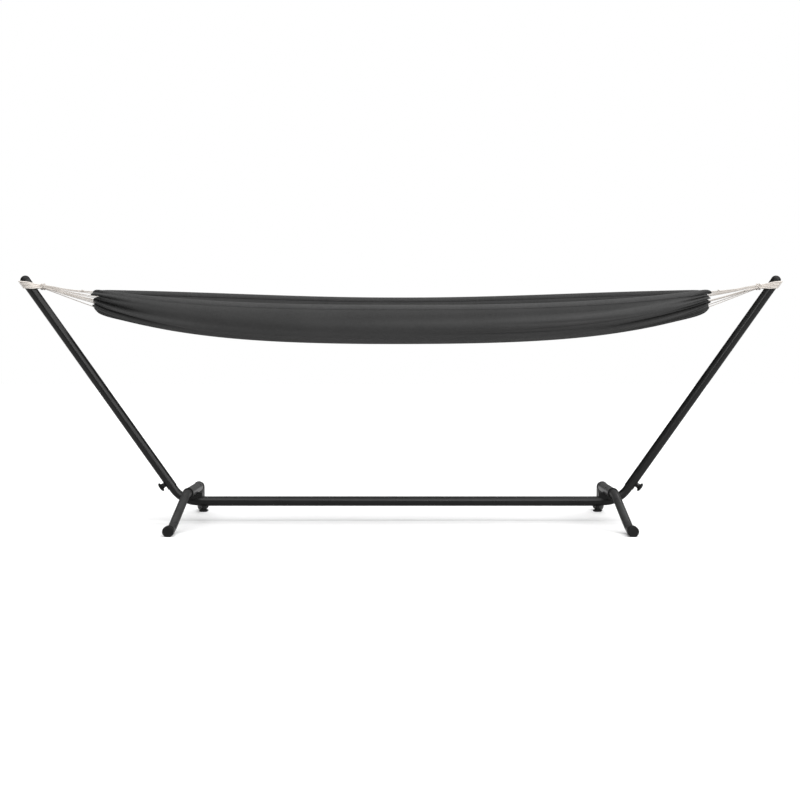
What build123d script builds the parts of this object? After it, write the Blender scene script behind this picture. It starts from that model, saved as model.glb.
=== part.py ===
from build123d import *

import os
from math import acos, copysign, cos, degrees, radians, sin

# Hammock on a stand, in millimetres.
# +X runs along the main bar, +Z is up, and the origin is on the floor under the middle of the stand.
# Each end of the stand is named by its side of the middle: left is -X and right is +X.
# Each leg is named by its side of the bar: front is -Y and rear is +Y.

SIDES = {"left": -1, "right": 1}
FACES = {"front": -1, "rear": 1}
BIG = 4000.0

# Tubes of the frame
TUBE_R = 19.0
TUBE_WALL = 1.5
TUBE_BORE_R = TUBE_R - TUBE_WALL
BAR_AXIS_Z = 82.0
BAR_HALF_LENGTH = 795.0
CORNER_X = 857.0
RAKE_DEG = 54.74
UPRIGHT_FOOT_T = 67.0
UPRIGHT_TOP_T = 1058.0

# Bent inner tube that joins the bar to an upright
ELBOW_R = 17.0
ELBOW_WALL = 2.0
ELBOW_BEND_R = 115.0
ELBOW_IN_BAR = 70.0
ELBOW_IN_UPRIGHT = 90.0

# Rounded plug in the top of an upright
CAP_R = 19.5
CAP_RIM_H = 2.0
CAP_SPIGOT_R = TUBE_BORE_R
CAP_SPIGOT_LENGTH = 24.0

# Cross sleeve that holds the two legs of one end
SLEEVE_X = 813.4
SLEEVE_Z = 126.6
SLEEVE_HALF_LENGTH = 150.0
COLLAR_R = 21.0
COLLAR_FACE_LENGTH = 8.0
COLLAR_SPIGOT_LENGTH = 25.0
COLLAR_LIP = 1.0

# Saddle bracket between the sleeve and the tubes under it
SADDLE_INNER_X = 777.0
SADDLE_OUTER_X = 838.0
SADDLE_HALF_WIDTH = 15.0
SADDLE_LOW_Z = 92.0
SADDLE_HIGH_Z = 117.0
SADDLE_CORNER_R = 5.0
BAR_GAP = 0.2

# Bent legs
LEG_R = 16.0
LEG_WALL = 1.5
LEG_FIT = 0.08
LEG_BEND_R = 90.0
LEG_ROOT_Y = 45.0
LEG_KNEE_Y = 212.0
LEG_ANKLE_Y = 405.0
LEG_END_Y = 500.0
FOOT_CAP_R = 20.5
FOOT_AXIS_Z = 19.0
FOOT_CAP_FACE = 5.0
FOOT_CAP_LENGTH = 32.0
FOOT_CAP_EDGE_R = 2.5
FOOT_X = 838.0

# Clamping knobs, measured outwards from the axis of the tube they clamp
BAR_KNOB_X = 774.0
UPRIGHT_KNOB_T = 93.0
STUD_R = 4.0
STUD_FIT = 0.05
STUD_TIP = ELBOW_R + 0.3
TUBE_HOLE_R = 4.6
NUT_R = 9.5
NUT_TOP = 26.0
WASHER_R = 9.0
WASHER_LOW = 26.3
WASHER_HIGH = 27.5
KNOB_LOW = 27.8
KNOB_HUB_R = 10.5
KNOB_HUB_TOP = 31.5
KNOB_FLARE_TOP = 34.5
KNOB_R = 18.0
KNOB_SIDE_TOP = 38.5
KNOB_CROWN_R = 13.5
KNOB_TOP = 41.5
KNOB_BORE_TOP = 37.0
KNOB_FLUTES = 8
KNOB_FLUTE_R = 5.0
KNOB_FLUTE_CENTRE = 21.0

# Stop pin that keeps the rope from slipping down an upright
PIN_T = 1000.0
PIN_R = 4.0
PIN_REACH = 34.0
PIN_HEAD_R = 6.0
PIN_HEAD_LENGTH = 3.0

# Rope turns round an upright, and the knot that gathers them
KNOT_OUTER_X = 1413.0
KNOT_INNER_X = 1388.0
KNOT_OUTER_Z = 925.0
KNOT_INNER_Z = 921.0
KNOT_OUTER_R = 15.0
KNOT_INNER_R = 14.0
LOOP_GAP = 0.6
ROPE_R = 2.8
LOOP_TURNS = 5
LOOP_PITCH = 6.0
LOOP_T = 1037.0
LOOP_SIDE_Y = 22.7
LOOP_BACK = 30.0
LOOP_SIDE_X = 8.0
LOOP_BACK_R = 20.5
LOOP_SIDE_R = 30.0
LOOP_END_Y = 5.0

# Cords that fan out from the knot to the end of the cloth
STRING_R = 1.7
STRING_COUNT = 11
STRING_ROOT_R = 8.2

# Cloth: a trough that narrows to a gathered bundle at each end
CLOTH_END_X = 1205.0
CLOTH_THICK = 6.0
CLOTH_STATIONS = 8
CLOTH_HALF_WIDTH = 230.0
CLOTH_END_HALF_WIDTH = 48.0
CLOTH_TAPER_POWER = 2.6
CLOTH_SHIFT_Y = -18.0

# Heights of the trough: its value in the middle, then what it gains towards an end.
# A rise grows with the square of the distance, unless a power is given, and a flare with its fourth power.
# A tuck comes only at the very end.
LOW_MID = 696.0
LOW_RISE = 58.0
LOW_FLARE = 68.0
LOW_TUCK = 16.0
HEM_NEAR_MID = 843.0
HEM_NEAR_RISE = 70.0
HEM_NEAR_POWER = 2.6
HEM_NEAR_TUCK = -12.0
HEM_FAR_MID = 889.0
HEM_FAR_RISE = 24.0
HEM_FAR_TUCK = -14.0
TUCK_POWER = 120
SECTION_POINTS = 9
SECTION_ROUND = 0.75


def along(side, t, out=0.0):
    """A point t up an upright's axis from the corner, and out from it on its lower, outer face."""
    rake = radians(RAKE_DEG)
    x = CORNER_X + t * cos(rake) + out * sin(rake)
    z = BAR_AXIS_Z + t * sin(rake) - out * cos(rake)
    return Vector(side * x, 0, z)


def rod(start, end, radius):
    """A solid round bar between two points."""
    start, end = Vector(start), Vector(end)
    place = Plane(origin=start, z_dir=end - start)
    return place * Cylinder(radius, (end - start).length, align=(Align.CENTER, Align.CENTER, Align.MIN))


def pipe(start, end, radius, bore):
    """A straight tube between two points."""
    way = (Vector(end) - Vector(start)).normalized()
    return rod(start, end, radius) - rod(Vector(start) - way, Vector(end) + way, bore)


def bent_pipe(route, radius, bore):
    """A tube that follows a route of straight runs and tangent arcs."""
    ring = Plane(origin=route @ 0, z_dir=route % 0) * (Circle(radius) - Circle(bore))
    return sweep(ring, path=route)


def revolved(outline, place):
    """The solid that an outline of (radius, height) points makes round the place's axis."""
    with BuildPart() as made:
        with BuildSketch(Plane.XZ):
            with BuildLine():
                Polyline(*outline, close=True)
            make_face()
        revolve(axis=Axis.Z)
    return place * made.part


def keep_between(shape, side, low_x, high_x):
    """The stretch of a shape whose distance from the middle plane is between two values."""
    middle = side * (low_x + high_x) / 2
    return shape & (Pos(middle, 0, 0) * Box(high_x - low_x, BIG, BIG))


def bar_point(side, x):
    """A point on the main bar's axis."""
    return Vector(side * x, 0, BAR_AXIS_Z)


def knob_places(side):
    """The planes of one end's two knobs: on the axis of the clamped tube, facing out along the stud."""
    bar = Plane(origin=bar_point(side, BAR_KNOB_X), z_dir=(0, 0, -1))
    outward = along(side, UPRIGHT_KNOB_T, 1.0) - along(side, UPRIGHT_KNOB_T)
    upright = Plane(origin=along(side, UPRIGHT_KNOB_T), z_dir=outward)
    return {"bar": bar, "upright": upright}


def local_rod(place, low, high, radius):
    """A round bar on a place's axis, between two distances from it."""
    return rod(place.from_local_coords((0, 0, low)), place.from_local_coords((0, 0, high)), radius)


def main_bar():
    tube = pipe(bar_point(-1, BAR_HALF_LENGTH), bar_point(1, BAR_HALF_LENGTH), TUBE_R, TUBE_BORE_R)
    for side in SIDES.values():
        tube -= local_rod(knob_places(side)["bar"], 0, NUT_TOP, TUBE_HOLE_R)
    return tube


def upright(side):
    tube = pipe(along(side, UPRIGHT_FOOT_T), along(side, UPRIGHT_TOP_T), TUBE_R, TUBE_BORE_R)
    return tube - local_rod(knob_places(side)["upright"], 0, NUT_TOP, TUBE_HOLE_R)


def elbow_route(side):
    start = bar_point(side, BAR_HALF_LENGTH - ELBOW_IN_BAR)
    end = along(side, UPRIGHT_FOOT_T + ELBOW_IN_UPRIGHT)
    return FilletPolyline(start, bar_point(side, CORNER_X), end, radius=ELBOW_BEND_R)


def elbow(side):
    return bent_pipe(elbow_route(side), ELBOW_R, ELBOW_R - ELBOW_WALL)


def upright_cap(side):
    """A plug with a hemispherical head."""
    top = Plane(origin=along(side, UPRIGHT_TOP_T), z_dir=along(side, 1.0) - along(side, 0.0))
    with BuildPart() as made:
        with BuildSketch(Plane.XZ):
            with BuildLine():
                Polyline(
                    (0, CAP_RIM_H + CAP_R),
                    (0, -CAP_SPIGOT_LENGTH),
                    (CAP_SPIGOT_R, -CAP_SPIGOT_LENGTH),
                    (CAP_SPIGOT_R, 0),
                    (CAP_R, 0),
                    (CAP_R, CAP_RIM_H),
                )
                CenterArc((0, CAP_RIM_H), CAP_R, 0, 90)
            make_face()
        revolve(axis=Axis.Z)
    return top * made.part


def sleeve_point(side, y):
    """A point on a cross sleeve's axis."""
    return Vector(side * SLEEVE_X, y, SLEEVE_Z)


def leg_sleeve(side):
    ends = sleeve_point(side, -SLEEVE_HALF_LENGTH), sleeve_point(side, SLEEVE_HALF_LENGTH)
    return pipe(*ends, TUBE_R, TUBE_BORE_R)


def sleeve_collar(side, face):
    lip = face * (SLEEVE_HALF_LENGTH + COLLAR_FACE_LENGTH)
    mouth = face * SLEEVE_HALF_LENGTH
    inner = face * (SLEEVE_HALF_LENGTH - COLLAR_SPIGOT_LENGTH)
    ring = rod(sleeve_point(side, mouth), sleeve_point(side, lip), COLLAR_R)
    ring = chamfer(ring.edges().filter_by(GeomType.CIRCLE), COLLAR_LIP)
    ring += rod(sleeve_point(side, inner), sleeve_point(side, mouth), TUBE_BORE_R)
    bore_ends = sleeve_point(side, inner - face), sleeve_point(side, lip + face)
    return ring - rod(*bore_ends, LEG_R + LEG_FIT)


def saddle(side):
    """A short block that sits on the bar's end and the start of the bend, hollowed for all three tubes."""
    length = SADDLE_OUTER_X - SADDLE_INNER_X
    height = SADDLE_HIGH_Z - SADDLE_LOW_Z
    middle = Pos(side * (SADDLE_OUTER_X + SADDLE_INNER_X) / 2, 0, (SADDLE_HIGH_Z + SADDLE_LOW_Z) / 2)
    block = Box(length, 2 * SADDLE_HALF_WIDTH, height)
    block = middle * fillet(block.edges().filter_by(Axis.Z), SADDLE_CORNER_R)
    block -= rod(sleeve_point(side, -BIG / 2), sleeve_point(side, BIG / 2), TUBE_R)
    block -= sweep(Plane(origin=elbow_route(side) @ 0, z_dir=elbow_route(side) % 0) * Circle(ELBOW_R),
                   path=elbow_route(side))
    block -= rod(bar_point(side, 0), bar_point(side, BAR_HALF_LENGTH + BAR_GAP), TUBE_R + BAR_GAP)
    return block


def leg_plane(side, face):
    """The plane that a leg bends in: across the bar, and outwards and down."""
    down = Vector(side * (FOOT_X - SLEEVE_X), 0, FOOT_AXIS_Z - SLEEVE_Z).normalized()
    across = Vector(0, face, 0)
    return Plane(origin=sleeve_point(side, 0), x_dir=across, z_dir=across.cross(down))


def leg_route(side, face):
    drop = Vector(FOOT_X - SLEEVE_X, 0, SLEEVE_Z - FOOT_AXIS_Z).length
    corners = [(LEG_ROOT_Y, 0), (LEG_KNEE_Y, 0), (LEG_ANKLE_Y, drop), (LEG_END_Y, drop)]
    bend_plane = leg_plane(side, face)
    return FilletPolyline(*[bend_plane.from_local_coords((y, down, 0)) for y, down in corners],
                          radius=LEG_BEND_R)


def leg(side, face):
    return bent_pipe(leg_route(side, face), LEG_R, LEG_R - LEG_WALL)


def foot_cap(side, face):
    """A cup over the leg's end, with a narrow flat that rests on the floor."""

    def at(y):
        return Vector(side * FOOT_X, face * y, FOOT_AXIS_Z)

    mouth = LEG_END_Y + FOOT_CAP_FACE - FOOT_CAP_LENGTH
    cup = rod(at(mouth), at(LEG_END_Y + FOOT_CAP_FACE), FOOT_CAP_R)
    cup = fillet(cup.edges().filter_by(GeomType.CIRCLE), FOOT_CAP_EDGE_R)
    cup -= Pos(0, 0, -BIG / 2) * Box(BIG, BIG, BIG)
    return cup - rod(at(mouth - 1), at(LEG_END_Y), LEG_R)


def weld_nut(place, tube_way):
    """A threaded boss, cut to sit on the tube that runs along tube_way."""
    boss = local_rod(place, 0, NUT_TOP, NUT_R)
    middle = place.origin
    boss -= rod(middle - tube_way * NUT_TOP, middle + tube_way * NUT_TOP, TUBE_R)
    return boss - local_rod(place, 0, NUT_TOP + 1, STUD_R + STUD_FIT)


def washer(place):
    disc = local_rod(place, WASHER_LOW, WASHER_HIGH, WASHER_R)
    return disc - local_rod(place, WASHER_LOW - 1, WASHER_HIGH + 1, STUD_R + STUD_FIT)


def knob_stud(place):
    return local_rod(place, STUD_TIP, KNOB_BORE_TOP, STUD_R)


def knob(place):
    """A hub that flares to a fluted hand wheel with a low crown."""
    outline = [
        (0, KNOB_LOW),
        (KNOB_HUB_R, KNOB_LOW),
        (KNOB_HUB_R, KNOB_HUB_TOP),
        (KNOB_R, KNOB_FLARE_TOP),
        (KNOB_R, KNOB_SIDE_TOP),
        (KNOB_CROWN_R, KNOB_TOP),
        (0, KNOB_TOP),
    ]
    wheel = revolved(outline, Plane.XY)
    flute = Pos(KNOB_FLUTE_CENTRE, 0, 0) * Cylinder(KNOB_FLUTE_R, 2 * KNOB_TOP + 2)
    for turn in range(KNOB_FLUTES):
        wheel -= Rot(0, 0, 360 * turn / KNOB_FLUTES) * flute
    bore_height = KNOB_BORE_TOP - KNOB_LOW
    wheel -= Pos(0, 0, KNOB_LOW + bore_height / 2) * Cylinder(STUD_R, bore_height)
    return place * wheel


def stop_pin(side):
    """A headed pin on the rear of an upright, under the rope turns."""
    base = along(side, PIN_T)
    shank = rod(base, base + Vector(0, PIN_REACH, 0), PIN_R)
    head_start = base + Vector(0, PIN_REACH - PIN_HEAD_LENGTH, 0)
    shank += rod(head_start, base + Vector(0, PIN_REACH, 0), PIN_HEAD_R)
    return shank - rod(along(side, PIN_T - NUT_TOP), along(side, PIN_T + NUT_TOP), TUBE_R)


def loop_route(side, turn):
    """One rope turn: from the knot, round the far side of the upright and back, in one plane."""
    tube_way = along(side, 1.0) - along(side, 0.0)
    lift = tube_way * (turn - (LOOP_TURNS - 1) / 2) * LOOP_PITCH / sin(radians(RAKE_DEG))
    centre = along(side, LOOP_T) + lift
    knot = Vector(side * KNOT_OUTER_X, 0, KNOT_OUTER_Z) + lift
    inward = (knot - centre).normalized()
    reach = (knot - centre).length + ROPE_R + LOOP_PITCH
    half = [(reach, LOOP_END_Y), (LOOP_SIDE_X, LOOP_SIDE_Y), (-LOOP_BACK, LOOP_SIDE_Y)]
    outline = half + [(x, -y) for x, y in reversed(half)]
    corners = [centre + inward * x + Vector(0, y, 0) for x, y in outline]
    return FilletPolyline(*corners, radius=[LOOP_SIDE_R, LOOP_BACK_R, LOOP_BACK_R, LOOP_SIDE_R])


def rope_loop(side):
    turns = []
    for turn in range(LOOP_TURNS):
        route = loop_route(side, turn)
        strand = sweep(Plane(origin=route @ 0, z_dir=route % 0) * Circle(ROPE_R), path=route)
        turns.append(keep_between(strand, side, KNOT_OUTER_X + LOOP_GAP, CORNER_X + BIG / 2))
    return Compound(children=turns)


def knot(side):
    """The gathered and whipped stretch of rope between the loop and the fan of cords."""
    slope = (KNOT_OUTER_Z - KNOT_INNER_Z) / (KNOT_OUTER_X - KNOT_INNER_X)
    start = Vector(side * (KNOT_OUTER_X + KNOT_OUTER_R), 0, KNOT_OUTER_Z + KNOT_OUTER_R * slope)
    end = Vector(side * (KNOT_INNER_X - KNOT_INNER_R), 0, KNOT_INNER_Z - KNOT_INNER_R * slope)
    length = (end - start).length
    upwards = (Align.CENTER, Align.CENTER, Align.MIN)
    cone = Plane(origin=start, z_dir=end - start) * Cone(KNOT_OUTER_R, KNOT_INNER_R, length, align=upwards)
    return keep_between(cone, side, KNOT_INNER_X, KNOT_OUTER_X)


def section_point(share, turn_deg, inset):
    """A point of the trough's section: share is 0 in the middle and 1 at an end.

    turn_deg runs from -90 at the near hem, through 0 at the bottom, to 90 at the far hem.
    """
    half_width, low, hem_near, hem_far = section_sizes(share)
    side = sin(radians(turn_deg))
    rise = 1 - abs(cos(radians(turn_deg))) ** SECTION_ROUND
    hem = hem_near if side < 0 else hem_far
    y = (half_width - inset) * (1 if side > 0 else -1) * abs(side) ** SECTION_ROUND
    z = low + inset + (hem - low - inset) * rise
    return CLOTH_SHIFT_Y * (1 - share) + y, z


def section_sizes(share):
    """Half width, bottom height and the two hem heights of the trough's section."""
    belly = 1 - share**CLOTH_TAPER_POWER
    tuck = share**TUCK_POWER
    half_width = CLOTH_END_HALF_WIDTH + (CLOTH_HALF_WIDTH - CLOTH_END_HALF_WIDTH) * belly
    low = LOW_MID + LOW_RISE * share**2 + LOW_FLARE * share**4 + LOW_TUCK * tuck
    hem_near = HEM_NEAR_MID + HEM_NEAR_RISE * share**HEM_NEAR_POWER + HEM_NEAR_TUCK * tuck
    hem_far = HEM_FAR_MID + HEM_FAR_RISE * sin(radians(90 * share)) ** 2 + HEM_FAR_TUCK * tuck
    return half_width, low, hem_near, hem_far


def cloth_section(x):
    """The closed outline of the trough's wall at one distance from the middle."""
    share = abs(x) / CLOTH_END_X
    turns = [-90 + 180 * step / (SECTION_POINTS - 1) for step in range(SECTION_POINTS)]
    outer = [Vector(x, *section_point(share, turn, 0.0)) for turn in turns]
    inner = [Vector(x, *section_point(share, turn, CLOTH_THICK)) for turn in turns]
    rims = [Line(outer[0], inner[0]), Line(inner[-1], outer[-1])]
    return make_face([Spline(*outer), rims[1], Spline(*inner), rims[0]])


def cloth():
    """The trough, closed along its bottom and walls and open on top."""
    steps = range(-CLOTH_STATIONS, CLOTH_STATIONS + 1)
    places = [CLOTH_END_X * sin(radians(90 * step / CLOTH_STATIONS)) for step in steps]
    return loft([cloth_section(x) for x in places], ruled=True)


def string_ends(side, number):
    """Where one cord leaves the knot and where it meets the cloth's end, before both are trimmed.

    The cords meet the cloth at even steps of height: down its near wall and up its far one.
    """
    share = -1 + 2 * number / (STRING_COUNT - 1)
    turn = copysign(degrees(acos((1 - abs(share)) ** (1 / SECTION_ROUND))), share)
    outer_y, outer_z = section_point(1.0, turn, CLOTH_THICK / 2)
    root_y = STRING_ROOT_R * sin(radians(turn))
    root_z = KNOT_INNER_Z + STRING_ROOT_R - 2 * STRING_ROOT_R * cos(radians(turn))
    return (Vector(side * KNOT_INNER_X, root_y, root_z), Vector(side * CLOTH_END_X, outer_y, outer_z))


def string_fan(side):
    cords = []
    for number in range(STRING_COUNT):
        root, tip = string_ends(side, number)
        way = (tip - root).normalized() * 4 * STRING_R
        cord = rod(root - way, tip + way, STRING_R)
        cords.append(keep_between(cord, side, CLOTH_END_X, KNOT_INNER_X))
    return Compound(children=cords)


def one_end(name, side):
    """Every piece of one end of the stand, by node name."""
    made = {
        f"elbow_{name}": elbow(side),
        f"upright_{name}": upright(side),
        f"upright_cap_{name}": upright_cap(side),
        f"leg_sleeve_{name}": leg_sleeve(side),
        f"saddle_{name}": saddle(side),
        f"stop_pin_{name}": stop_pin(side),
        f"rope_loop_{name}": rope_loop(side),
        f"rope_knot_{name}": knot(side),
        f"string_fan_{name}": string_fan(side),
    }
    tube_ways = {"bar": Vector(1, 0, 0), "upright": along(side, 1.0) - along(side, 0.0)}
    for tube, place in knob_places(side).items():
        made[f"{tube}_weld_nut_{name}"] = weld_nut(place, tube_ways[tube])
        made[f"{tube}_washer_{name}"] = washer(place)
        made[f"{tube}_knob_stud_{name}"] = knob_stud(place)
        made[f"{tube}_knob_{name}"] = knob(place)
    for face_name, face in FACES.items():
        made[f"sleeve_collar_{face_name}_{name}"] = sleeve_collar(side, face)
        made[f"leg_{face_name}_{name}"] = leg(side, face)
        made[f"foot_cap_{face_name}_{name}"] = foot_cap(side, face)
    return made


def main():
    os.makedirs("parts", exist_ok=True)
    nodes = {"main_bar": main_bar(), "hammock_cloth": cloth()}
    for name, side in SIDES.items():
        nodes.update(one_end(name, side))
    for name, shape in nodes.items():
        export_step(shape, f"parts/{name}.step")


main()
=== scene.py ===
import math

import bpy
import numpy as np
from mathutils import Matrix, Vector


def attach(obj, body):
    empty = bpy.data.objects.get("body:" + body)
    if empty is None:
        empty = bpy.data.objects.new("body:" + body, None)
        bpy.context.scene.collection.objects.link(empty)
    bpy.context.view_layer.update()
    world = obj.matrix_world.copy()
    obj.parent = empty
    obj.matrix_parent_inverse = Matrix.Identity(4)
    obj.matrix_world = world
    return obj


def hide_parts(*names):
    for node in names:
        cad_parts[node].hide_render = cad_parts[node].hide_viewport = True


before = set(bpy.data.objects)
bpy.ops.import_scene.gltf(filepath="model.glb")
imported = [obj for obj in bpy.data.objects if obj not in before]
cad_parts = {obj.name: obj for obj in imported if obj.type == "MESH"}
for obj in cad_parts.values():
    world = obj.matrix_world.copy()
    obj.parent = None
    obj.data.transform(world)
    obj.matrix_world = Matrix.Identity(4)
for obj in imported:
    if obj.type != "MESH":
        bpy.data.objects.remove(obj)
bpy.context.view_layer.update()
SIDES = {"left": -1, "right": 1}
FACES = ("front", "rear")
CLAMPS = ("bar", "upright")


# ---------------------------------------------------------------- camera, light and floor

CAMERA_DISTANCE = 5.9
CAMERA_HEIGHT = 0.645
CAMERA_PITCH_DEG = 1.607
CAMERA_LENS = 67.7
CAMERA_SHIFT_X = -0.00075
FLOOR_HALF = 30.0

# How bright the white room is as fill light, in reflections and behind the object.
ROOM_STRENGTHS = (0.32, 0.08, 1.0)
SUN_STRENGTH = 3.6
SUN_SPREAD_DEG = 100
SUN_PLACE = (1.4, -1.6, 5)

# Each area light's place, target, width and height, and power.
AREA_LIGHTS = {
    "front": ((0.6, -6.4, 2.6), (0, 0, 0.5), (1.8, 1.6), 42),
    "left_strip": ((-3.6, -2.6, 2.2), (-1.0, 0, 0.5), (0.8, 2.4), 14),
    "right_strip": ((3.6, -2.6, 2.2), (1.0, 0, 0.5), (0.8, 2.4), 40),
}

# How pale the floor is as it lights the object, and as the camera sees it.
FLOOR_SHADES = (0.42, 1.0)


def add_object(name, data):
    """A new object in the scene that shows some data."""
    made = bpy.data.objects.new(name, data)
    bpy.context.scene.collection.objects.link(made)
    return made


def make_camera():
    """The camera, looking slightly down from in front of the stand."""
    data = bpy.data.cameras.new("camera")
    data.lens = CAMERA_LENS
    data.sensor_width = 36
    data.shift_x = CAMERA_SHIFT_X
    data.clip_end = 100
    camera = add_object("camera", data)
    camera.location = (0, -CAMERA_DISTANCE, CAMERA_HEIGHT)
    camera.rotation_euler = (math.radians(90 - CAMERA_PITCH_DEG), 0, 0)
    bpy.context.scene.camera = camera


def aim(light, place, target):
    light.location = place
    light.rotation_euler = (Vector(target) - Vector(place)).to_track_quat("-Z", "Y").to_euler()


def area_light(name, place, target, size, power):
    """A rectangular soft light that points at a target."""
    data = bpy.data.lights.new(name, "AREA")
    data.shape = "RECTANGLE"
    data.size, data.size_y = size
    data.energy = power
    aim(add_object(name, data), place, target)


def make_room():
    """A white room whose brightness depends on what its light is used for."""
    world = bpy.data.worlds.new("studio")
    bpy.context.scene.world = world
    world.use_nodes = True
    tree = world.node_tree
    shades = [tree.nodes["Background"]]
    shades += [tree.nodes.new("ShaderNodeBackground") for _ in range(2)]
    for background, strength in zip(shades, ROOM_STRENGTHS):
        background.inputs["Color"].default_value = (1, 1, 1, 1)
        background.inputs["Strength"].default_value = strength
    seen = tree.nodes.new("ShaderNodeLightPath")
    result = shades[0].outputs[0]
    for ray, background in zip(("Is Glossy Ray", "Is Camera Ray"), shades[1:]):
        mix = tree.nodes.new("ShaderNodeMixShader")
        tree.links.new(seen.outputs[ray], mix.inputs[0])
        tree.links.new(result, mix.inputs[1])
        tree.links.new(background.outputs[0], mix.inputs[2])
        result = mix.outputs[0]
    tree.links.new(result, tree.nodes["World Output"].inputs["Surface"])


def make_lights():
    sun = bpy.data.lights.new("overhead", "SUN")
    sun.energy = SUN_STRENGTH
    sun.angle = math.radians(SUN_SPREAD_DEG)
    aim(add_object("overhead", sun), SUN_PLACE, (0, 0, 0))
    for name, (place, target, size, power) in AREA_LIGHTS.items():
        area_light(name, place, target, size, power)
    bpy.context.scene.view_settings.view_transform = "Standard"
    bpy.context.scene.view_settings.look = "None"


def make_floor():
    """A wide pale floor that doesn't belong to the object."""
    mesh = bpy.data.meshes.new("floor")
    corners = [(x * FLOOR_HALF, y * FLOOR_HALF, 0) for x, y in ((-1, -1), (1, -1), (1, 1), (-1, 1))]
    mesh.from_pydata(corners, [], [(0, 1, 2, 3)])
    floor = add_object("floor", mesh)
    sweep = Finish("studio_floor", Roughness=0.7, Specular_IOR_Level=0.1)
    seen = sweep.add("LightPath").outputs["Is Camera Ray"]
    shade = sweep.mix(seen, *(grey(value) for value in FLOOR_SHADES))
    floor.data.materials.append(sweep.set(Base_Color=shade))


# ---------------------------------------------------------------- materials

class Finish:
    """A material and short ways to add its nodes."""

    def __init__(self, name, **sockets):
        self.material = bpy.data.materials.new(name)
        self.material.use_nodes = True
        self.tree = self.material.node_tree
        self.shader = self.tree.nodes["Principled BSDF"]
        self.set(**sockets)

    def put(self, socket, value):
        """Links a socket to another, or sets its value."""
        if isinstance(value, bpy.types.NodeSocket):
            self.tree.links.new(value, socket)
        else:
            socket.default_value = value

    def set(self, **sockets):
        """Sets the shader's sockets, and gives the material back."""
        for socket, value in sockets.items():
            self.put(self.shader.inputs[socket.replace("_", " ")], value)
        return self.material

    def add(self, kind, settings=None, **inputs):
        """A new node. Underscores in the inputs' names stand for spaces."""
        node = self.tree.nodes.new("ShaderNode" + kind)
        for key, value in (settings or {}).items():
            setattr(node, key, value)
        for key, value in inputs.items():
            self.put(node.inputs[key.replace("_", " ")], value)
        return node

    def position(self):
        return self.add("NewGeometry").outputs["Position"]

    def flat(self):
        """The cloth's own coordinates, in metres on the cloth before it was hung."""
        return self.add("UVMap", {"uv_map": "flat"}).outputs["UV"]

    def scaled(self, vector, scale):
        node = self.add("VectorMath", {"operation": "MULTIPLY"})
        self.put(node.inputs[0], vector)
        node.inputs[1].default_value = scale
        return node.outputs[0]

    def noise(self, scale, detail=2.0, vector=None):
        vector = vector or self.position()
        return self.add("TexNoise", Vector=vector, Scale=scale, Detail=detail).outputs["Fac"]

    def ramp(self, value, low, high, to_low, to_high):
        """A value between low and high, spread from to_low to to_high."""
        inputs = {"From Min": low, "From Max": high, "To Min": to_low, "To Max": to_high}
        return self.add("MapRange", Value=value, **inputs).outputs["Result"]

    def mix(self, share, first, second):
        return self.add("MixRGB", Fac=share, Color1=first, Color2=second).outputs["Color"]

    def maths(self, how, first, second=0.0):
        node = self.add("Math", {"operation": how})
        self.put(node.inputs[0], first)
        self.put(node.inputs[1], second)
        return node.outputs[0]

    def bump(self, height, distance, strength=1.0):
        return self.add("Bump", Height=height, Distance=distance, Strength=strength).outputs["Normal"]


def grey(value, warm=0.0):
    return (value * (1 + warm), value, value * (1 - warm), 1)


def cream(value):
    return (value, 0.935 * value, 0.87 * value, 1)


def powder_coat(name, shade):
    """Powder coat: a fine orange-peel skin, satin gloss and a little dust."""
    made = Finish(name, Specular_IOR_Level=0.38)
    skin = made.noise(900, 2)
    patches = made.noise(14, 4)
    dust = made.noise(55, 5)
    colour = made.mix(made.ramp(patches, 0.3, 0.7, 0, 1), grey(shade), grey(1.4 * shade))
    colour = made.mix(made.ramp(dust, 0.58, 0.8, 0, 0.3), colour, grey(0.015 + 1.3 * shade, 0.03))
    rough = made.ramp(made.maths("ADD", patches, made.maths("MULTIPLY", skin, 0.35)), 0.3, 1.0, 0.24, 0.34)
    return made.set(Base_Color=colour, Roughness=rough, Normal=made.bump(skin, 0.00012, 0.4))


def moulded_plastic():
    """Black moulded plastic with a spark-eroded grain."""
    made = Finish("moulded_plastic", Specular_IOR_Level=0.25)
    grain = made.add("TexVoronoi", Vector=made.position(), Scale=1400.0).outputs["Distance"]
    wear = made.noise(40, 4)
    colour = made.mix(made.ramp(wear, 0.35, 0.75, 0, 1), grey(0.006), grey(0.010))
    rough = made.ramp(wear, 0.3, 0.7, 0.42, 0.55)
    return made.set(Base_Color=colour, Roughness=rough, Normal=made.bump(grain, 0.0001, 0.5))


def black_zinc():
    """Black zinc on steel, faintly mottled."""
    made = Finish("black_zinc", Metallic=1.0)
    mottle = made.noise(220, 4)
    brushed = made.noise(1500, 2)
    colour = made.mix(made.ramp(mottle, 0.35, 0.7, 0, 1), grey(0.03, 0.01), grey(0.06, -0.01))
    rough = made.ramp(mottle, 0.3, 0.7, 0.26, 0.42)
    return made.set(Base_Color=colour, Roughness=rough, Normal=made.bump(brushed, 0.00005, 0.4))


def cotton(name, pale, deep):
    """Natural cotton: fuzzy fibres along the strands, with faint stains between a pale and a deep shade."""
    made = Finish(name, Specular_IOR_Level=0.15, Sheen_Weight=0.1, Sheen_Roughness=0.5)
    fibres = made.noise(2600, 3)
    stains = made.noise(35, 4)
    colour = made.mix(made.ramp(stains, 0.3, 0.7, 0, 1), cream(deep), cream(pale))
    colour = made.mix(made.ramp(fibres, 0.35, 0.65, 0.12, 0), colour, cream(0.8 * deep))
    return made.set(Base_Color=colour, Roughness=0.9, Normal=made.bump(fibres, 0.0001, 0.4))


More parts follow.
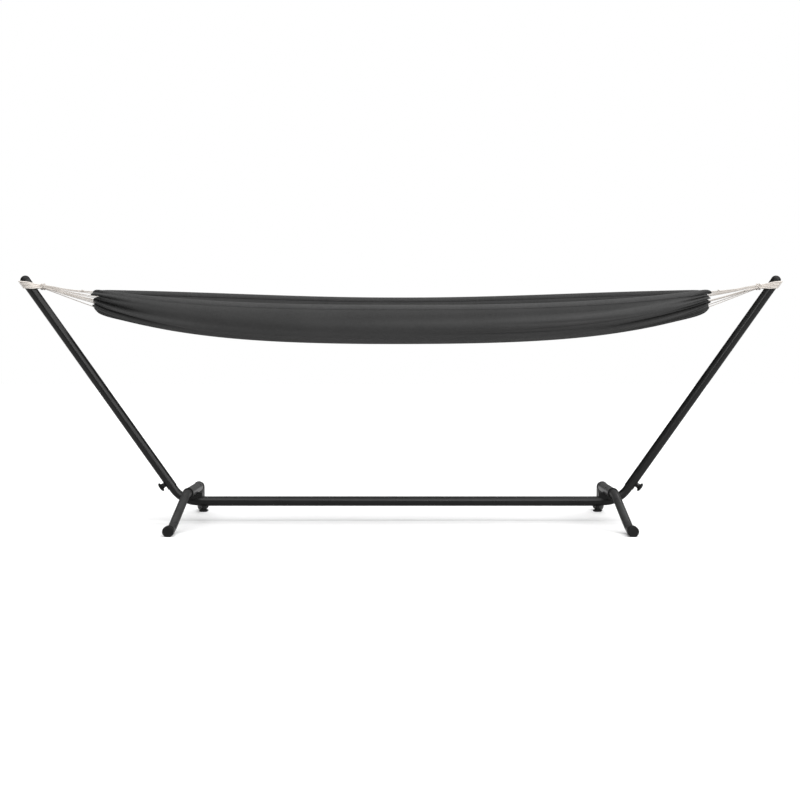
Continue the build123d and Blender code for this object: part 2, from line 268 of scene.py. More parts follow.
CANVAS_SHADE = 0.065
HEM_SHADE = 0.072
THREAD = 0.0011
SLUB_SCALES = (35, 700)


def canvas(name, shade):
    """Charcoal plain-weave canvas: threads, slubs, a slight fade, and painted shade that darkens the valleys
    of the folds.
    """
    made = Finish(name, Specular_IOR_Level=0.12, Sheen_Weight=0.04, Sheen_Roughness=0.4)
    flat = made.flat()
    thread_turns = made.add("SeparateXYZ", Vector=made.scaled(flat, (2 * math.pi / THREAD,) * 3))
    warp = made.maths("SINE", thread_turns.outputs["X"])
    weft = made.maths("SINE", thread_turns.outputs["Y"])
    weave = made.maths("MULTIPLY", warp, weft)
    coarse, fine = SLUB_SCALES
    along_slub = made.noise(1.0, 4, made.scaled(flat, (coarse, fine, 1)))
    across_slub = made.noise(1.0, 4, made.scaled(flat, (fine, coarse, 1)))
    slub = made.maths("MULTIPLY", made.maths("ADD", along_slub, across_slub), 0.5)
    fade = made.noise(5, 4)
    colour = made.mix(made.ramp(slub, 0.36, 0.64, 0, 1), grey(0.78 * shade), grey(1.15 * shade))
    colour = made.mix(made.ramp(fade, 0.35, 0.7, 0, 0.3), colour, grey(1.35 * shade))
    colour = made.mix(made.ramp(weave, -0.2, 1, 0.0, 0.25), colour, grey(2.0 * shade))
    # Painted shade: the canvas is darkened where the folds' valleys are deep, standing in for the shade that
    # falls in them.
    crease = made.add("Attribute", {"attribute_name": "crease"}).outputs["Fac"]
    colour = made.mix(made.ramp(crease, 0.1, 1, 0, 0.75), colour, grey(0.25 * shade))
    height = made.maths("ADD", weave, made.maths("MULTIPLY", slub, 3.0))
    return made.set(Base_Color=colour, Roughness=made.ramp(slub, 0.3, 0.7, 0.8, 0.95),
                    Normal=made.bump(height, 0.0002, 0.6))


def sewing_thread():
    """Grey twisted thread, a little lighter than the canvas."""
    made = Finish("sewing_thread", Specular_IOR_Level=0.3)
    twist = made.noise(3500, 2)
    colour = made.mix(made.ramp(twist, 0.4, 0.6, 0, 1), grey(0.07), grey(0.13))
    return made.set(Base_Color=colour, Roughness=0.7, Normal=made.bump(twist, 0.0001, 0.5))


# ---------------------------------------------------------------- mesh helpers

def new_piece(name, points, faces, material, body, slot):
    """A smooth mesh object that rides on a body."""
    mesh = bpy.data.meshes.new(name)
    mesh.from_pydata(np.asarray(points).tolist(), [], faces)
    mesh.polygons.foreach_set("use_smooth", [True] * len(mesh.polygons))
    mesh.materials.append(material)
    piece = add_object(name, mesh)
    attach(piece, body)
    return piece


def grid_faces(rows, columns, first=0, closed=False):
    """Quads of a grid whose points run row by row. closed joins each row's last point to its first."""
    faces = []
    for i in range(rows - 1):
        low, high = first + i * columns, first + (i + 1) * columns
        for j in range(columns if closed else columns - 1):
            k = (j + 1) % columns
            faces.append((low + j, low + k, high + k, high + j))
    return faces


def tube_faces(rows, sides, first=0):
    """Faces of a closed tube, with a flat cap at each end."""
    last = first + (rows - 1) * sides
    caps = [tuple(first + j for j in reversed(range(sides))), tuple(last + j for j in range(sides))]
    return grid_faces(rows, sides, first, closed=True) + caps


def smooth_line(route):
    """The points of a cord's line: a NURBS spline with the route's points as control points."""
    curve = bpy.data.curves.new("route", "CURVE")
    curve.dimensions = "3D"
    curve.resolution_u = 12
    spline = curve.splines.new("NURBS")
    spline.points.add(len(route) - 1)
    for control, point in zip(spline.points, route):
        control.co = (*point, 1)
    spline.order_u = 3
    spline.use_endpoint_u = True
    holder = bpy.data.objects.new("route", curve)
    mesh = bpy.data.meshes.new_from_object(holder)
    line = np.array([v.co for v in mesh.vertices])
    bpy.data.objects.remove(holder)
    bpy.data.meshes.remove(mesh)
    bpy.data.curves.remove(curve)
    return line


def run_along(line):
    """The distance of each point of a line from its start."""
    return np.concatenate([[0], np.cumsum(np.linalg.norm(np.diff(line, axis=0), axis=1))])


def values_at(at, run, values):
    """Values given at the distances run along a line, read at the distances at."""
    return np.stack([np.interp(at, run, values[:, k]) for k in range(3)], axis=1)


def evenly(line, step, values=None):
    """The line's points, or other values given at its points, about step apart."""
    run = run_along(line)
    at = np.linspace(0, run[-1], max(3, int(round(run[-1] / step)) + 1))
    return values_at(at, run, line if values is None else values)


def unit(vectors):
    return vectors / np.linalg.norm(vectors, axis=-1, keepdims=True)


def directions(line):
    """Two directions across a line at each of its points, carried along it without twist."""
    way = unit(np.gradient(line, axis=0))
    helper = np.eye(3)[np.argmin(np.abs(way[0]))]
    across = [unit(np.cross(way[0], helper))]
    for tangent in way[1:]:
        across.append(unit(across[-1] - tangent * np.dot(across[-1], tangent)))
    across = np.array(across)
    return across, np.cross(way, across)


def rings(first, second, sides):
    """A unit circle of points for each pair of directions."""
    around = np.linspace(0, 2 * math.pi, sides, endpoint=False)
    return first[:, None] * np.cos(around)[None, :, None] + second[:, None] * np.sin(around)[None, :, None]


STRANDS = 3
STRAND_SIDES = 6
STRAND_SHARE = 0.40


def twisted(line, diameter, pitch, phase=0.0, sizes=None):
    """Points and faces of a three-strand rope along a line. sizes scales its thickness point by point."""
    across, upward = directions(line)
    run = run_along(line)
    sizes = np.ones(len(line)) if sizes is None else sizes
    strand_r = STRAND_SHARE * diameter * sizes
    centre_r = 0.5 * diameter * sizes - strand_r
    ring = rings(across, upward, STRAND_SIDES)
    points, faces = [], []
    for strand in range(STRANDS):
        turn = phase + 2 * math.pi * (strand / STRANDS + run / pitch)
        off_across = (centre_r * np.cos(turn))[:, None]
        off_upward = (centre_r * np.sin(turn))[:, None]
        middle = line + across * off_across + upward * off_upward
        faces += tube_faces(len(line), STRAND_SIDES, len(points) * STRAND_SIDES * len(line))
        points.append((middle[:, None] + ring * strand_r[:, None, None]).reshape(-1, 3))
    return np.concatenate(points), faces


def joined(parts):
    """Points and faces of several meshes as one."""
    points, faces, count = [], [], 0
    for some_points, some_faces in parts:
        points.append(some_points)
        faces += [tuple(count + k for k in face) for face in some_faces]
        count += len(some_points)
    return np.concatenate(points), faces


# ---------------------------------------------------------------- ropes

# Where the uprights' axes run, in metres.
CORNER_X = 0.857
BAR_AXIS_Z = 0.082
RAKE = math.radians(54.74)
CAP_R = 0.0195

# The rope turns round an upright.
ROPE_D = 0.0056
LOOP_T = 1.037
LOOP_TURNS = 5
LOOP_PITCH = 0.006
LOOP_GATHER = 0.45
LOOP_CLEARANCE = 0.0004
ARC_START_DEG = 70
ARC_STEP_DEG = 24
ARC_POINTS = 5
MOUTH_HALF_WIDTHS = (0.0075, 0.0035)
MOUTH_LEAD = 0.002
MOUTH_DEPTH = 0.010

# The knot, from its outer end at the rope turns to its inner end at the cords.
KNOT_OUTER_X = 1.413
KNOT_INNER_X = 1.388
KNOT_OUTER_Z = 0.925
KNOT_INNER_Z = 0.921

# The fan of cords: how they lie inside the knot and where they leave it.
STRING_D = 0.0038
STRING_COUNT = 11
BUNDLE_R = 0.0045
BUNDLE_INSET_X = 0.006
BUNDLE_DROP = 0.001
STRING_ROOT_R = 0.0082
STRING_ROOT_REACH = 0.003
STRING_SPREAD = 0.9
BED_END = 1.205

# The twist of the ropes: steps and turns in diameters, and how each cord's strands start.
ROPE_STEP = 0.36
ROPE_TWIST = 2.6
STRING_PHASE = 0.7
LOOP_PHASE = 1.1


def along(side, t):
    """A point t up an upright's axis from the corner."""
    return np.array([side * (CORNER_X + t * math.cos(RAKE)), 0.0, BAR_AXIS_Z + t * math.sin(RAKE)])


def knot_centre(side):
    return np.array([side * (KNOT_OUTER_X + KNOT_INNER_X) / 2, 0.0, (KNOT_OUTER_Z + KNOT_INNER_Z) / 2])


def loop_route(side, turn):
    """Control points of one rope turn: out of the knot, round the upright and back into the knot."""
    tube_way = unit(along(side, 1.0) - along(side, 0.0))
    lift = tube_way * (turn - (LOOP_TURNS - 1) / 2) * LOOP_PITCH / math.sin(RAKE)
    centre = along(side, LOOP_T) + lift
    knot = np.array([side * KNOT_OUTER_X, 0.0, KNOT_OUTER_Z])
    inward = unit(knot - along(side, LOOP_T))
    mouth = knot + lift * LOOP_GATHER
    clear = (CAP_R + ROPE_D / 2 + LOOP_CLEARANCE) / math.cos(math.radians(ARC_STEP_DEG / 2))
    stretch = 1 / math.sqrt(1 - np.dot(inward, tube_way) ** 2)
    across = np.array([0.0, 1.0, 0.0])
    half = []
    for number in range(ARC_POINTS):
        angle = math.radians(ARC_START_DEG + number * ARC_STEP_DEG)
        half.append((clear * stretch * math.cos(angle), clear * math.sin(angle)))
    outline = half + [(x, -y) for x, y in reversed(half)]
    mouth_y = MOUTH_HALF_WIDTHS[turn % 2]
    inner, outer = mouth + inward * MOUTH_DEPTH, mouth - inward * MOUTH_LEAD
    start = [inner + across * mouth_y * 0.5, outer + across * mouth_y]
    finish = [outer - across * mouth_y, inner - across * mouth_y * 0.5]
    return start + [centre + inward * x + across * y for x, y in outline] + finish


# By how much each cord's end is moved up, lies inside the cloth's end, and sags on its way.
STRING_LIFTS = {
    "left": (0.000, 0.006, 0.001, 0.004, 0.005, 0.002, 0.009, 0.008, 0.009, 0.009, 0.003),
    "right": (0.000, 0.003, 0.009, 0.002, 0.009, -0.001, -0.006, -0.002, 0.008, 0.008, 0.002),
}
STRING_REACH = (0.022, 0.010, 0.016, 0.007, 0.013, 0.009, 0.015, 0.006, 0.018, 0.011, 0.020)
STRING_SAG = (0.008, 0.006, 0.003, 0.002, 0.003, 0.001, 0.002, 0.002, 0.005, 0.006, 0.009)


def string_route(side_name, number):
    """Control points of one cord: from inside the knot, out in the fan and in among the cloth's folds."""
    side = SIDES[side_name]
    share = -1 + 2 * number / (STRING_COUNT - 1)
    turn = math.copysign(math.acos((1 - abs(share)) ** (1 / SECTION_ROUND)), share)

    def u_point(radius, x, z):
        return np.array([side * x, radius * math.sin(turn), z + radius - 2 * radius * math.cos(turn)])

    root = u_point(BUNDLE_R, KNOT_OUTER_X - BUNDLE_INSET_X, KNOT_OUTER_Z - BUNDLE_DROP)
    mouth = u_point(STRING_ROOT_R, KNOT_INNER_X - STRING_ROOT_REACH, KNOT_INNER_Z)
    y, z = section_at(1.0, turn)
    end_x = BED_END - STRING_REACH[number]
    end = np.array([side * end_x, y * STRING_SPREAD, z + STRING_LIFTS[side_name][number]])
    middle = (mouth + end) / 2 + np.array([0.0, 0.0, -STRING_SAG[number]])
    return [root, mouth, middle, end]


def make_rope(name, route, diameter, body, material, phase):
    """A rope along a route, and the line of its centre."""
    line = evenly(smooth_line(route), ROPE_STEP * diameter)
    points, faces = twisted(line, diameter, ROPE_TWIST * diameter, phase)
    piece = new_piece(name, points, faces, material, body, "cotton_rope")
    return piece, line


KNOT_CORD_D = 0.0044
KNOT_TWIST = 0.012
KNOT_LEADS = 3
KNOT_BIGHTS = 4
KNOT_RING_R = 0.0096
KNOT_WEAVE_R = 0.0022
KNOT_HALF_LENGTH = 0.0085
KNOT_TILT = 0.0016
SMALL_KNOT_SIZE = 0.0015
SMALL_KNOT_TWIST = 0.009

# The knot's free tail, as steps towards the middle of the bed, along Y and up.
TAIL_LENGTH = 0.052
TAIL_START = (0.004, -0.0105, -0.004)
TAIL_ROUTE = (
    (0.0, 0.0, 0.0), (0.018, -0.003, -0.003), (0.035, -0.004, -0.009), (TAIL_LENGTH, -0.006, -0.012),
)
FRAY_LENGTH = 0.006
FRAY_SIZE = 1.25


def turks_head(side):
    """The line of a woven knot round the cords, with its ends side by side."""
    t = np.linspace(0, 2 * math.pi * KNOT_LEADS, 220)
    wave = KNOT_BIGHTS * t / KNOT_LEADS
    radius = KNOT_RING_R + KNOT_WEAVE_R * np.sin(2 * wave)
    x = KNOT_HALF_LENGTH * np.sin(wave) + KNOT_TILT * np.cos(t)
    line = np.stack([side * x, radius * np.cos(t), radius * np.sin(t)], axis=1)
    return line + knot_centre(side)


def overhand(centre, way, size):
    """The line of a small overhand knot, round a cord that runs along way."""
    t = np.linspace(0, 2 * math.pi, 90)
    first = unit(np.cross(way, [0.3, 1.0, 0.2]))
    second = np.cross(way, first)
    a = np.sin(t) + 2 * np.sin(2 * t)
    b = np.cos(t) - 2 * np.cos(2 * t)
    c = -1.6 * np.sin(3 * t)
    return centre + size * (a[:, None] * first + b[:, None] * second + c[:, None] * way)


def make_ropes(rope_finish, cord_finish):
    """Every cord and rope turn as its own piece. Each knot goes with the first cord of its side."""
    for side_name, side in SIDES.items():
        for number in range(STRING_COUNT):
            route = string_route(side_name, number)
            name = f"string_{side_name}_{number + 1:02d}"
            phase = STRING_PHASE * number
            piece, line = make_rope(name, route, STRING_D, "hammock", cord_finish, phase)
            pieces = []
            if number == 0:
                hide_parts(f"string_fan_{side_name}", f"rope_knot_{side_name}")
                pieces = make_knots(side_name, line, cord_finish)
        for turn in range(LOOP_TURNS):
            name = f"rope_turn_{side_name}_{turn + 1}"
            route = loop_route(side, turn)
            piece, line = make_rope(name, route, ROPE_D, "stand", rope_finish, LOOP_PHASE * turn)
            if turn == 0:
                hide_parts(f"rope_loop_{side_name}")


def make_knots(side_name, top_line, material):
    """The woven knot with its free tail, and a small overhand knot on the top cord."""
    side = SIDES[side_name]
    inwards = np.array([-side, 1, 1])
    start = knot_centre(side) + inwards * TAIL_START
    tail = evenly(smooth_line([start + inwards * point for point in TAIL_ROUTE]), 0.0015)
    fray = np.interp(run_along(tail), [0, TAIL_LENGTH - FRAY_LENGTH, TAIL_LENGTH], [1.0, 1.0, FRAY_SIZE])
    parts = [twisted(evenly(turks_head(side), 0.0014), KNOT_CORD_D, KNOT_TWIST),
             twisted(tail, KNOT_CORD_D, KNOT_TWIST, sizes=fray)]
    knot = new_piece(f"knot_{side_name}", *joined(parts), material, "hammock", "cotton_rope")
    at = len(top_line) * 3 // 4
    way = unit(top_line[at + 1] - top_line[at])
    small_line = evenly(overhand(top_line[at], way, SMALL_KNOT_SIZE), 0.001)
    small = twisted(small_line, STRING_D, SMALL_KNOT_TWIST)
    lump = new_piece(f"small_knot_{side_name}", *small, material, "hammock", "cotton_rope")
    return [knot, lump]


# ---------------------------------------------------------------- cloth

FLAT_WIDTH = 0.70
CLOTH_THICK = 0.0012
ROWS = 241
COLUMNS = 186
SHEET_INSET = 0.003

# The bed's section: its shape, and how its sizes change from the middle to an end.
SECTION_ROUND = 0.75
CLOTH_SHIFT_Y = -0.018
END_HALF_WIDTH = 0.048
MIDDLE_EXTRA_WIDTH = 0.182
TAPER_POWER = 2.6
LOW_MID = 0.696
LOW_RISE = 0.058
LOW_FLARE = 0.068
LOW_TUCK = 0.016
HEM_NEAR_MID = 0.843
HEM_NEAR_RISE = 0.070
HEM_NEAR_TUCK = 0.012
HEM_FAR_MID = 0.889
HEM_FAR_RISE = 0.024
HEM_FAR_TUCK = 0.014
TUCK_POWER = 120


def bed_sizes(share):
    """Half width, bottom and hem heights of the bed's section. share is 0 in the middle and 1 at an end."""
    tuck = share**TUCK_POWER
    half = END_HALF_WIDTH + MIDDLE_EXTRA_WIDTH * (1 - share**TAPER_POWER)
    low = LOW_MID + LOW_RISE * share**2 + LOW_FLARE * share**4 + LOW_TUCK * tuck
    near = HEM_NEAR_MID + HEM_NEAR_RISE * share**TAPER_POWER - HEM_NEAR_TUCK * tuck
    far = HEM_FAR_MID + HEM_FAR_RISE * np.sin(math.pi / 2 * share) ** 2 - HEM_FAR_TUCK * tuck
    return half, low, near, far


def section_at(share, turn):
    """A point (y, z) of the section. turn runs from -90 degrees at the near hem to 90 at the far hem."""
    half, low, near, far = bed_sizes(share)
    hem = np.where(np.sin(turn) < 0, near, far)
    y = (half - SHEET_INSET) * np.sign(np.sin(turn)) * np.abs(np.sin(turn)) ** SECTION_ROUND
    rise = 1 - np.abs(np.cos(turn)) ** SECTION_ROUND
    z = low + SHEET_INSET + (hem - low - SHEET_INSET) * rise
    return y + CLOTH_SHIFT_Y * (1 - share), z


def resampled_section(share, v):
    """The section's points at even distances v, from 0 at the near hem to 1 at the far hem."""
    turn = np.linspace(-math.pi / 2, math.pi / 2, 721)
    y, z = section_at(share, turn)
    run = np.concatenate([[0], np.cumsum(np.hypot(np.diff(y), np.diff(z)))])
    at = v * run[-1]
    return np.interp(at, run, y), np.interp(at, run, z), run[-1]


# Each fold's place across the cloth from 0 to 1, its half width and depth, and how far it runs from the end.
FOLDS = {
    "left": (
        (0.030, 0.0028, 0.006, 0.06), (0.090, 0.0030, 0.011, 0.12), (0.135, 0.0024, 0.006, 0.07),
        (0.180, 0.0052, 0.017, 0.17), (0.225, 0.0024, 0.006, 0.09), (0.270, 0.0045, 0.016, 0.24),
        (0.310, 0.0024, 0.006, 0.10), (0.345, 0.0022, 0.008, 0.27), (0.380, 0.0022, 0.009, 0.36),
        (0.430, 0.0030, 0.009, 0.20), (0.485, 0.0040, 0.012, 0.32), (0.540, 0.0030, 0.009, 0.16),
        (0.590, 0.0038, 0.013, 0.26), (0.645, 0.0030, 0.010, 0.14), (0.700, 0.0044, 0.015, 0.22),
        (0.755, 0.0028, 0.008, 0.12), (0.805, 0.0042, 0.014, 0.30), (0.860, 0.0028, 0.008, 0.10),
        (0.905, 0.0036, 0.012, 0.18), (0.958, 0.0026, 0.006, 0.08),
    ),
    "right": (
        (0.035, 0.0026, 0.005, 0.05), (0.075, 0.0028, 0.008, 0.08), (0.115, 0.0030, 0.010, 0.11),
        (0.155, 0.0024, 0.006, 0.08), (0.200, 0.0030, 0.009, 0.14), (0.245, 0.0052, 0.017, 0.34),
        (0.290, 0.0024, 0.007, 0.10), (0.325, 0.0026, 0.007, 0.18), (0.368, 0.0036, 0.015, 0.25),
        (0.415, 0.0028, 0.008, 0.12), (0.465, 0.0036, 0.011, 0.30), (0.520, 0.0030, 0.009, 0.15),
        (0.570, 0.0042, 0.014, 0.24), (0.625, 0.0028, 0.008, 0.12), (0.675, 0.0036, 0.012, 0.32),
        (0.730, 0.0030, 0.009, 0.14), (0.785, 0.0044, 0.015, 0.22), (0.845, 0.0030, 0.009, 0.12),
        (0.900, 0.0036, 0.012, 0.20), (0.958, 0.0026, 0.006, 0.07),
    ),
}

# Each notch in a gathered end: its place and half width across the cloth, and how far it cuts in.
NOTCHES = {
    "left": ((0.105, 0.020, 0.026), (0.235, 0.014, 0.013), (0.300, 0.012, 0.012), (0.420, 0.018, 0.010),
             (0.560, 0.020, 0.016), (0.690, 0.016, 0.012), (0.800, 0.020, 0.020), (0.915, 0.016, 0.014)),
    "right": ((0.060, 0.014, 0.020), (0.170, 0.018, 0.014), (0.285, 0.014, 0.012), (0.400, 0.018, 0.014),
              (0.520, 0.016, 0.012), (0.650, 0.020, 0.018), (0.770, 0.016, 0.012), (0.880, 0.020, 0.018)),
}


FOLD_DEPTH = 1.35
END_TRIM = {"left": -0.008, "right": -0.001}
# Crease depth at which the painted shade in the folds is at its darkest.
CREASE_SHADE_FULL = 0.012
CLOTH_SEED = 12
WAVE_COUNT = 9
CREASE_COUNT = 16


def bell(value, middle, half_width):
    return np.exp(-(((value - middle) / half_width) ** 2))


def pleats(side_name, v, distance, girth):
    """How far the cloth stands out of its plain section near one end, and how deep its valleys are.

    distance runs inwards from that end, and girth is the section's length at each point.
    """
    valleys = np.zeros_like(v)
    inside = np.maximum(distance, 0)
    for place, width, depth, length in FOLDS[side_name]:
        drift = 0.010 * np.sin(9 * distance + 40 * place) * np.minimum(distance, 0.3)
        fade = (0.5 + 0.5 * np.minimum(inside / 0.03, 1)) / (1 + (inside / length) ** 4)
        spread = width * (1 + 1.0 * np.minimum(inside / length, 1.5)) / girth
        off = np.abs(v - place - drift) / spread
        valleys = np.maximum(valleys, FOLD_DEPTH * depth * np.exp(-(off**1.5)) * fade)
    ripple_turns = 2 * math.pi * (15 * v + 0.35 * np.sin(2 * math.pi * 2.3 * v + 0.8))
    ridges = 0.0020 * np.exp(-distance / 0.05) * np.sin(ripple_turns)
    ridges += 0.002 * np.exp(-(((distance - 0.05) / 0.05) ** 2))
    return ridges - valleys, valleys


def long_waves(rng, v, x):
    """Slack and gentle creases that run along the whole cloth."""
    out = np.zeros_like(v)
    for _ in range(WAVE_COUNT):
        across = rng.uniform(2.0, 11.0)
        lengthways = rng.uniform(-0.35, 0.35)
        phase = rng.uniform(0, 2 * math.pi)
        height = rng.uniform(0.0006, 0.0013)
        out += height * np.sin(2 * math.pi * (across * v + lengthways * x) + phase)
    for _ in range(CREASE_COUNT):
        place = rng.uniform(0.06, 0.94)
        centre = rng.uniform(-0.85, 0.85)
        depth = rng.uniform(0.0015, 0.0042)
        tilt = rng.uniform(-0.06, 0.06)
        crease = bell(v, place + tilt * (x - centre), rng.uniform(0.006, 0.014))
        out -= depth * crease * bell(x, centre, rng.uniform(0.12, 0.4))
    return out


def cloth_grid():
    """The sheet's points, row by row along the bed, their flat coordinates and how deep their creases lie,
    for the painted shade in the folds.
    """
    rng = np.random.default_rng(CLOTH_SEED)
    u = np.linspace(-1, 1, ROWS)
    v = np.linspace(0, 1, COLUMNS)
    x = BED_END * np.sin(math.pi / 2 * u)
    grid = np.zeros((ROWS, COLUMNS, 3))
    girth = np.zeros((ROWS, 1))
    for i, place in enumerate(x):
        y, z, girth[i] = resampled_section(abs(place) / BED_END, v)
        grid[i] = np.stack([np.full(COLUMNS, place), y, z], axis=1)
    along_v = unit(np.gradient(grid, axis=1) * np.array([0, 1, 1]))
    outward = np.stack([np.zeros_like(along_v[..., 0]), along_v[..., 2], -along_v[..., 1]], axis=-1)
    vv, xx = np.meshgrid(v, x)
    stand_out = long_waves(rng, vv, xx)
    # How deep each point lies in a crease or valley, kept to paint shade into the folds.
    crease_shade = np.maximum(-stand_out, 0)
    for side_name, side in SIDES.items():
        distance = BED_END - side * xx
        raised, valleys = pleats(side_name, vv, distance, girth)
        stand_out += raised
        crease_shade += valleys
        notch = sum(depth * bell(vv, place, width) for place, width, depth in NOTCHES[side_name])
        tip = 0.007 * np.sin(2 * math.pi * 6.3 * vv + side) * np.sin(2 * math.pi * 2.1 * vv + 0.5)
        grid[..., 0] += side * (tip + END_TRIM[side_name] - notch) * np.exp(-distance / 0.035)
    hem_hold = np.minimum(1, np.minimum(vv, 1 - vv) / 0.03)
    calm = 1 - 0.6 * (1 - hem_hold)
    grid += outward * (stand_out * calm)[..., None]
    flat = np.stack([xx, vv * FLAT_WIDTH], axis=-1)
    return grid, flat, np.minimum(crease_shade / CREASE_SHADE_FULL, 1)


def add_flat_map(piece, flat):
    """Stores each vertex's flat coordinates in the mesh's UV map."""
    layer = piece.data.uv_layers.new(name="flat")
    corner_vertices = np.zeros(len(piece.data.loops), int)
    piece.data.loops.foreach_get("vertex_index", corner_vertices)
    layer.data.foreach_set("uv", np.asarray(flat, float).reshape(-1, 2)[corner_vertices].ravel())


def sheet_piece(grid, flat, crease_shade, material):
    """The sheet's mesh, with its flat coordinates, the painted shade of its creases and its thickness."""
    faces = grid_faces(ROWS, COLUMNS)
    piece = new_piece("hammock_sheet", grid.reshape(-1, 3), faces, material, "hammock", "hammock_cloth")
    add_flat_map(piece, flat)
    # Each point's crease depth, which the canvas turns into painted shade.
    piece.data.attributes.new("crease", "FLOAT", "POINT").data.foreach_set("value", crease_shade.ravel())
    thickness = piece.modifiers.new("thickness", "SOLIDIFY")
    thickness.thickness = CLOTH_THICK
    thickness.offset = 0
    return piece


# Each long edge's column of the grid and one a little further in.
LONG_EDGES = {"near": (0, 4), "far": (COLUMNS - 1, COLUMNS - 5)}
HEM_WIDTH = 0.018
HEM_END_ROWS = 4

# The hem's outline: shares of its width from the edge inwards, and heights off the cloth.
HEM_PROFILE = (
    (1.00, 0.0008), (0.97, 0.0017), (0.50, 0.0019), (0.06, 0.0019), (-0.03, 0.0011),
    (-0.03, -0.0011), (0.06, -0.0019), (0.50, -0.0019), (0.97, -0.0017), (1.00, -0.0008),
)


def edge_frame(grid, column, inner):
    """Points of a long edge, with the directions into the cloth and out of its face."""
    edge = grid[:, column]
    inward = unit(grid[:, inner] - edge)
    way = unit(np.gradient(edge, axis=0))
    out = unit(np.cross(inward, way))
    return edge, inward, out


def hem_piece(name, grid, column, inner, material):
    """A rolled hem along a long edge, narrower at its gathered ends."""
    edge, inward, out = edge_frame(grid, column, inner)
    keep = slice(HEM_END_ROWS, ROWS - HEM_END_ROWS)
    edge, inward, out = edge[keep], inward[keep], out[keep]
    distance = BED_END - np.abs(edge[:, 0])
    width = HEM_WIDTH * np.interp(distance, [0, 0.08], [0.45, 1.0])
    outline = [edge + inward * (share * width)[:, None] + out * offset for share, offset in HEM_PROFILE]
    points = np.stack(outline, axis=1)
    faces = tube_faces(len(edge), len(HEM_PROFILE))
    piece = new_piece(name, points.reshape(-1, 3), faces, material, "hammock", "hammock_cloth")
    shares = np.array([share for share, _ in HEM_PROFILE])
    down = shares[None, :] * width[:, None]
    add_flat_map(piece, np.stack([np.repeat(edge[:, :1], len(shares), axis=1), down], axis=-1))
    return piece


STITCH_LENGTH = 0.0032
STITCH_STEP = 0.0046
STITCH_R = 0.00042
STITCH_SIDES = 6
STITCH_END_ROWS = 14
STITCH_HEM_SHARE = 0.82
STITCH_HEM_LIFT = 0.0019
END_STITCH_ROW = 12
SEAM_STEP = 0.002

# A stitch's outline: shares of its length, with its thickness and height there in radii.
STITCH_PLACES = np.array([0.0, 0.12, 0.5, 0.88, 1.0])
STITCH_SIZES = np.array([0.3, 0.85, 1.0, 0.85, 0.3])
STITCH_HEIGHTS = np.array([-0.5, 0.05, 0.35, 0.05, -0.5])


def stitches(line, out):
    """Points and faces of a row of stitches along a line that lies on the cloth."""
    run = run_along(line)
    starts = np.arange(0.004, run[-1] - 0.008, STITCH_STEP)
    parts = []
    for start in starts:
        at = start + STITCH_LENGTH * STITCH_PLACES
        middle = values_at(at, run, line)
        up = unit(values_at(at, run, out))
        side = unit(np.cross(up, middle[-1] - middle[0]))
        middle = middle + up * (STITCH_HEIGHTS * STITCH_R)[:, None]
        ring = rings(side, up, STITCH_SIDES)
        points = middle[:, None] + ring * (STITCH_SIZES * STITCH_R)[:, None, None]
        parts.append((points.reshape(-1, 3), tube_faces(len(at), STITCH_SIDES)))
    return joined(parts)


def hem_stitches(grid, column, inner, face):
    """One row of stitches along a hem, on its outer (1) or inner (-1) face."""
    edge, inward, out = edge_frame(grid, column, inner)
    keep = slice(STITCH_END_ROWS, ROWS - STITCH_END_ROWS)
    line = (edge + inward * (HEM_WIDTH * STITCH_HEM_SHARE) + out * (face * STITCH_HEM_LIFT))[keep]
    return stitches(evenly(line, SEAM_STEP), evenly(line, SEAM_STEP, out[keep] * face))


def end_stitches(grid, row):
    """A row of stitches across a gathered end, over its folds."""
    line = grid[row]
    way = unit(np.gradient(grid, axis=0)[row])
    across = unit(np.gradient(line, axis=0))
    out = unit(np.cross(across, way))
    line = line + out * CLOTH_THICK / 2
    return stitches(evenly(line, SEAM_STEP), evenly(line, SEAM_STEP, out))


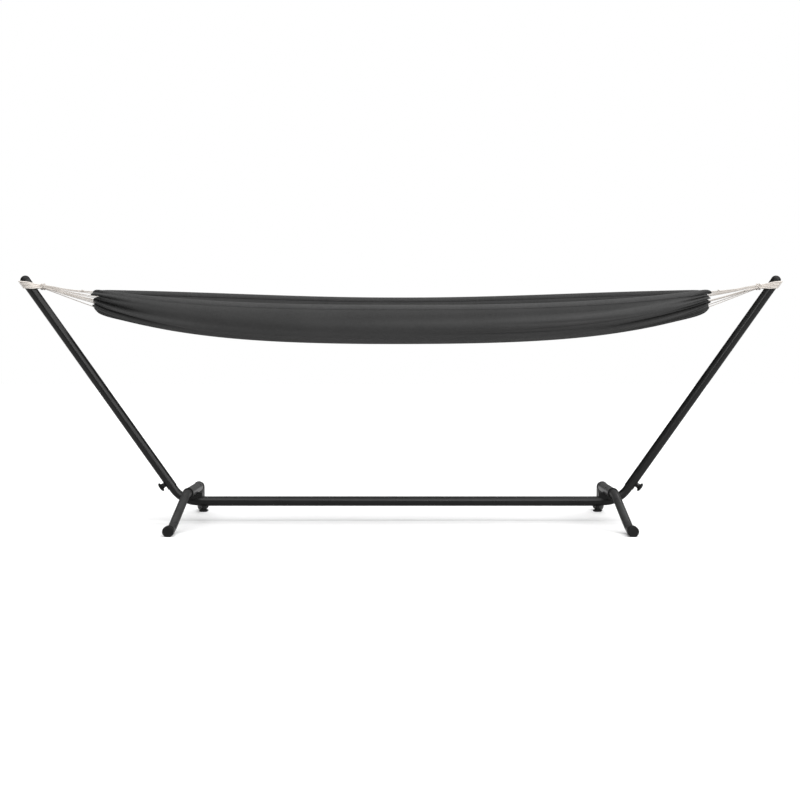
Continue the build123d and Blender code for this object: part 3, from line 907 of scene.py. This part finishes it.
def make_cloth():
    """The sheet with its two hems and its seams."""
    cloth_finish = canvas("canvas", CANVAS_SHADE)
    hem_finish = canvas("hem_canvas", HEM_SHADE)
    grid, flat, crease_shade = cloth_grid()
    sheet = sheet_piece(grid, flat, crease_shade, cloth_finish)
    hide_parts("hammock_cloth")
    hems = [hem_piece(f"hem_{name}", grid, *edge, hem_finish) for name, edge in LONG_EDGES.items()]
    rows = [hem_stitches(grid, *edge, face) for edge in LONG_EDGES.values() for face in (1, -1)]
    rows += [end_stitches(grid, row) for row in (END_STITCH_ROW, ROWS - 1 - END_STITCH_ROW)]
    seam = new_piece("seam_stitches", *joined(rows), sewing_thread(), "hammock", "hammock_cloth")


# ---------------------------------------------------------------- the frame's own pieces

# The legs and their sleeves get lighter copies of the black powder coat: painted light standing in for the
# light and reflections they catch.
POWDER_COATS = (("powder_coat", 0.005), ("leg_powder_coat_painted_light", 0.032), ("sleeve_powder_coat_painted_light", 0.075))


def paint(node, material):
    """Gives a CAD node a new material."""
    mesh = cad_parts[node].data
    mesh.materials.clear()
    mesh.materials.append(material)


def paint_frame():
    # The legs' and sleeves' coats are lighter copies of the bar's coat, with painted light.
    coat, leg_coat_painted_light, sleeve_coat_painted_light = (powder_coat(*look) for look in POWDER_COATS)
    plastic, zinc = moulded_plastic(), black_zinc()
    paint("main_bar", coat)
    for side in SIDES:
        for part in ("elbow", "upright", "saddle"):
            paint(f"{part}_{side}", coat)
        # The sleeve's lighter coat is painted light.
        paint(f"leg_sleeve_{side}", sleeve_coat_painted_light)
        paint(f"upright_cap_{side}", plastic)
        paint(f"stop_pin_{side}", zinc)
        for clamp in CLAMPS:
            paint(f"{clamp}_weld_nut_{side}", coat)
            paint(f"{clamp}_knob_{side}", plastic)
            paint(f"{clamp}_washer_{side}", zinc)
            paint(f"{clamp}_knob_stud_{side}", zinc)
        for face in FACES:
            # The legs' lighter coat is painted light.
            paint(f"leg_{face}_{side}", leg_coat_painted_light)
            paint(f"foot_cap_{face}_{side}", plastic)
            paint(f"sleeve_collar_{face}_{side}", plastic)


make_camera()
make_ropes(cotton("cotton_rope", 0.80, 0.70), cotton("cotton_cord", 0.66, 0.57))
make_cloth()
paint_frame()
make_room()
make_lights()
make_floor()
